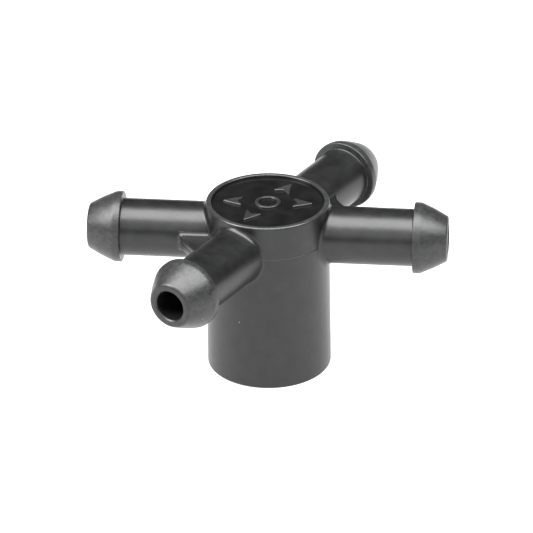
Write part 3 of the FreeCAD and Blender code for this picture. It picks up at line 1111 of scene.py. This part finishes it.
@dataclass
class PartingLine:
    """The fine bead that the mould's two halves leave on the hub and on the webs' outer walls."""

    sizes: FrameSizes
    hub: HubSocket
    webs: Sequence[CornerWeb]
    finish: bpy.types.Material
    bead: float = 0.028 * MM
    sides: int = 8
    overrun: float = math.radians(1.5)
    hub_steps: int = 40
    web_steps: int = 60
    hollow_share: float = 0.8

    def hub_runs(self) -> list[list[tuple[float, float, float]]]:
        """The two runs across the wide gaps, from one root fillet to the other."""
        fillet = Outlet.root_fillet
        outlet_half = math.asin((Outlet.stem_radius + fillet) / (self.hub.radius + fillet))
        start = self.sizes.half_gap + outlet_half - self.overrun
        angles = np.linspace(start, math.pi - start, self.hub_steps)
        radius, height = self.hub.radius, self.sizes.axis_height
        return [[(radius * math.cos(sign * a), radius * math.sin(sign * a), height) for a in angles]
                for sign in (1.0, -1.0)]

    def web_runs(self) -> list[list[tuple[float, float, float]]]:
        """One run along each web's outer wall."""
        runs = []
        for web in self.webs:
            turn = Matrix.Rotation(web.side.turn, 3, "Z")
            start, end = web.hollow_span(0.0)
            far = start + self.hollow_share * (end - start)
            run = [turn @ Vector((web.wall_x(y, 0.0), y, self.sizes.axis_height))
                   for y in np.linspace(-far, far, self.web_steps)]
            runs.append([tuple(place) for place in run])
        return runs

    def build(self) -> bpy.types.Object:
        """Draw the bead along every run."""
        tree = GeometryTree("bead_on_runs", {"Bead Radius": "NodeSocketFloat", "Sides": "NodeSocketInt"})
        section = tree.add("CurvePrimitiveCircle", {"Resolution": tree.given["Sides"],
                                                    "Radius": tree.given["Bead Radius"]})
        bead = tree.add("CurveToMesh", {"Curve": tree.given["Geometry"], "Profile Curve": section.outputs[0],
                                        "Fill Caps": True})
        tree.end_with(bead.outputs[0])
        runs = curve_object("parting_runs", self.hub_runs() + self.web_runs(), closed=False)
        piece = tree.make_piece("parting_line", runs,
                                {"Bead Radius": self.bead, "Sides": self.sides, "Finish": self.finish})
        return finish_piece(piece, Slot.BODY, [], sharp_from=math.radians(80))


# ---------------------------------------------------------------- studio

def direction(azimuth: float, elevation: float) -> Vector:
    """Unit vector towards a place given in degrees, where azimuth 0 is -Y and 90 is +X."""
    turn, lift = math.radians(azimuth), math.radians(elevation)
    return Vector((math.sin(turn) * math.cos(lift), -math.cos(turn) * math.cos(lift), math.sin(lift)))


@dataclass(frozen=True)
class Softbox:
    """One rectangular light that faces the part."""

    name: str
    azimuth: float
    elevation: float
    distance: float
    width: float
    height: float
    brightness: float

    def build(self, aim: Vector) -> None:
        """Hang the light.

        Args:
            aim: the point that it faces.
        """
        light = bpy.data.lights.new(self.name, "AREA")
        light.shape = "RECTANGLE"
        light.size, light.size_y = self.width, self.height
        light.energy = self.brightness * math.pi * self.width * self.height
        lamp = add_object(self.name, light)
        back = direction(self.azimuth, self.elevation)
        lamp.location = aim + back * self.distance
        lamp.rotation_mode = "QUATERNION"
        lamp.rotation_quaternion = back.to_track_quat("Z", "Y")


@dataclass
class Studio:
    """Pale floor, soft lights, dim surroundings and the camera."""

    sizes: FrameSizes
    floor_half: float = 1.5
    floor_gap: float = 0.02 * MM
    surroundings: float = 0.06
    azimuth: float = -25.81
    elevation: float = 28.18
    roll: float = -0.65
    distance: float = 272.7 * MM
    lens: float = 252.8
    slide_right: float = -0.115 * MM
    slide_up: float = -2.522 * MM
    clip: Point = (0.01, 10.0)

    @property
    def aim(self) -> Vector:
        """The point on the hub's axis that the outlets' axes pass through."""
        return Vector((0.0, 0.0, self.sizes.axis_height))

    def build_floor(self) -> None:
        """Lay the floor under the socket's mouth."""
        half, level = self.floor_half, -self.floor_gap
        corners = [(-half, -half, level), (half, -half, level), (half, half, level), (-half, half, level)]
        mesh = bpy.data.meshes.new("floor")
        mesh.from_pydata(corners, [], [(0, 1, 2, 3)])
        mesh.materials.append(PaleFloor("white_table").material())
        add_object("floor", mesh)

    def build_lights(self) -> None:
        """Hang the softboxes and set the surroundings."""
        boxes = [
            Softbox("overhead_box", azimuth=-33.0, elevation=80.0, distance=0.32,
                    width=0.84, height=0.26, brightness=10.5),
            Softbox("front_box", azimuth=-26.0, elevation=34.0, distance=0.50,
                    width=0.36, height=0.28, brightness=2.0),
            Softbox("left_box", azimuth=-98.0, elevation=34.0, distance=0.40,
                    width=0.18, height=0.22, brightness=9.0),
        ]
        for box in boxes:
            box.build(self.aim)
        world = bpy.data.worlds.new("dim_surroundings")
        world.use_nodes = True
        grey = (self.surroundings,) * 3
        world.node_tree.nodes["Background"].inputs["Color"].default_value = (*grey, 1.0)
        bpy.context.scene.world = world

    def build_camera(self) -> None:
        """Set the camera."""
        back, roll = direction(self.azimuth, self.elevation), math.radians(self.roll)
        level = (-back).cross(Vector((0.0, 0.0, 1.0))).normalized()
        upright = level.cross(-back)
        right = math.cos(roll) * level + math.sin(roll) * upright
        up = -math.sin(roll) * level + math.cos(roll) * upright
        data = bpy.data.cameras.new("camera")
        data.lens = self.lens
        data.clip_start, data.clip_end = self.clip
        camera = add_object("camera", data)
        camera.location = self.aim + back * self.distance + right * self.slide_right + up * self.slide_up
        camera.rotation_mode = "QUATERNION"
        camera.rotation_quaternion = Matrix((right, up, back)).transposed().to_quaternion()
        bpy.context.scene.camera = camera

    def build(self) -> None:
        """Set up the whole studio."""
        self.build_floor()
        self.build_lights()
        self.build_camera()
        bpy.context.scene.view_settings.view_transform = "Standard"
        LOG.info("studio: floor, lights and camera")


# ---------------------------------------------------------------- assembly

def main() -> None:
    """Build every sub-assembly in order."""
    logging.basicConfig(level=logging.INFO, format="%(name)s %(message)s")
    sizes = FrameSizes.read(frame)
    # The rim's paler colour is partly from handling and partly a painted highlight.
    rim_worn_and_highlighted = Wear(above=sizes.hub_top - 0.14 * MM)
    body = MouldedPlastic("grained_black_polymer", wear=rim_worn_and_highlighted).material()
    outlet = MouldedPlastic("rubbed_black_polymer", light=(0.024, 0.0244, 0.0248),
                            rubbing=Rubbing()).material()
    polished = PolishedDisc("scratched_black_polymer").material()
    # The marks' lighter copy of the disc's finish is a painted highlight on the raised marks.
    raised = PolishedDisc("raised_black_polymer", dark=(0.012, 0.012, 0.0122),
                          light=(0.024, 0.024, 0.0244), roughness=(0.22, 0.34)).material()
    hub = HubSocket(sizes, body)
    hub.build()
    TopDisc(sizes, polished).build()
    marks = FlowMarks(sizes, raised)
    marks.build_arrows()
    marks.build_ring()
    for name in sizes.headings:
        Outlet(name, sizes, hub, outlet).build()
    webs = [CornerWeb(side, sizes, hub, body) for side in Side]
    for web in webs:
        web.build()
    PartingLine(sizes, hub, webs, body).build()
    Studio(sizes).build()


if __name__ == "__main__":
    main()
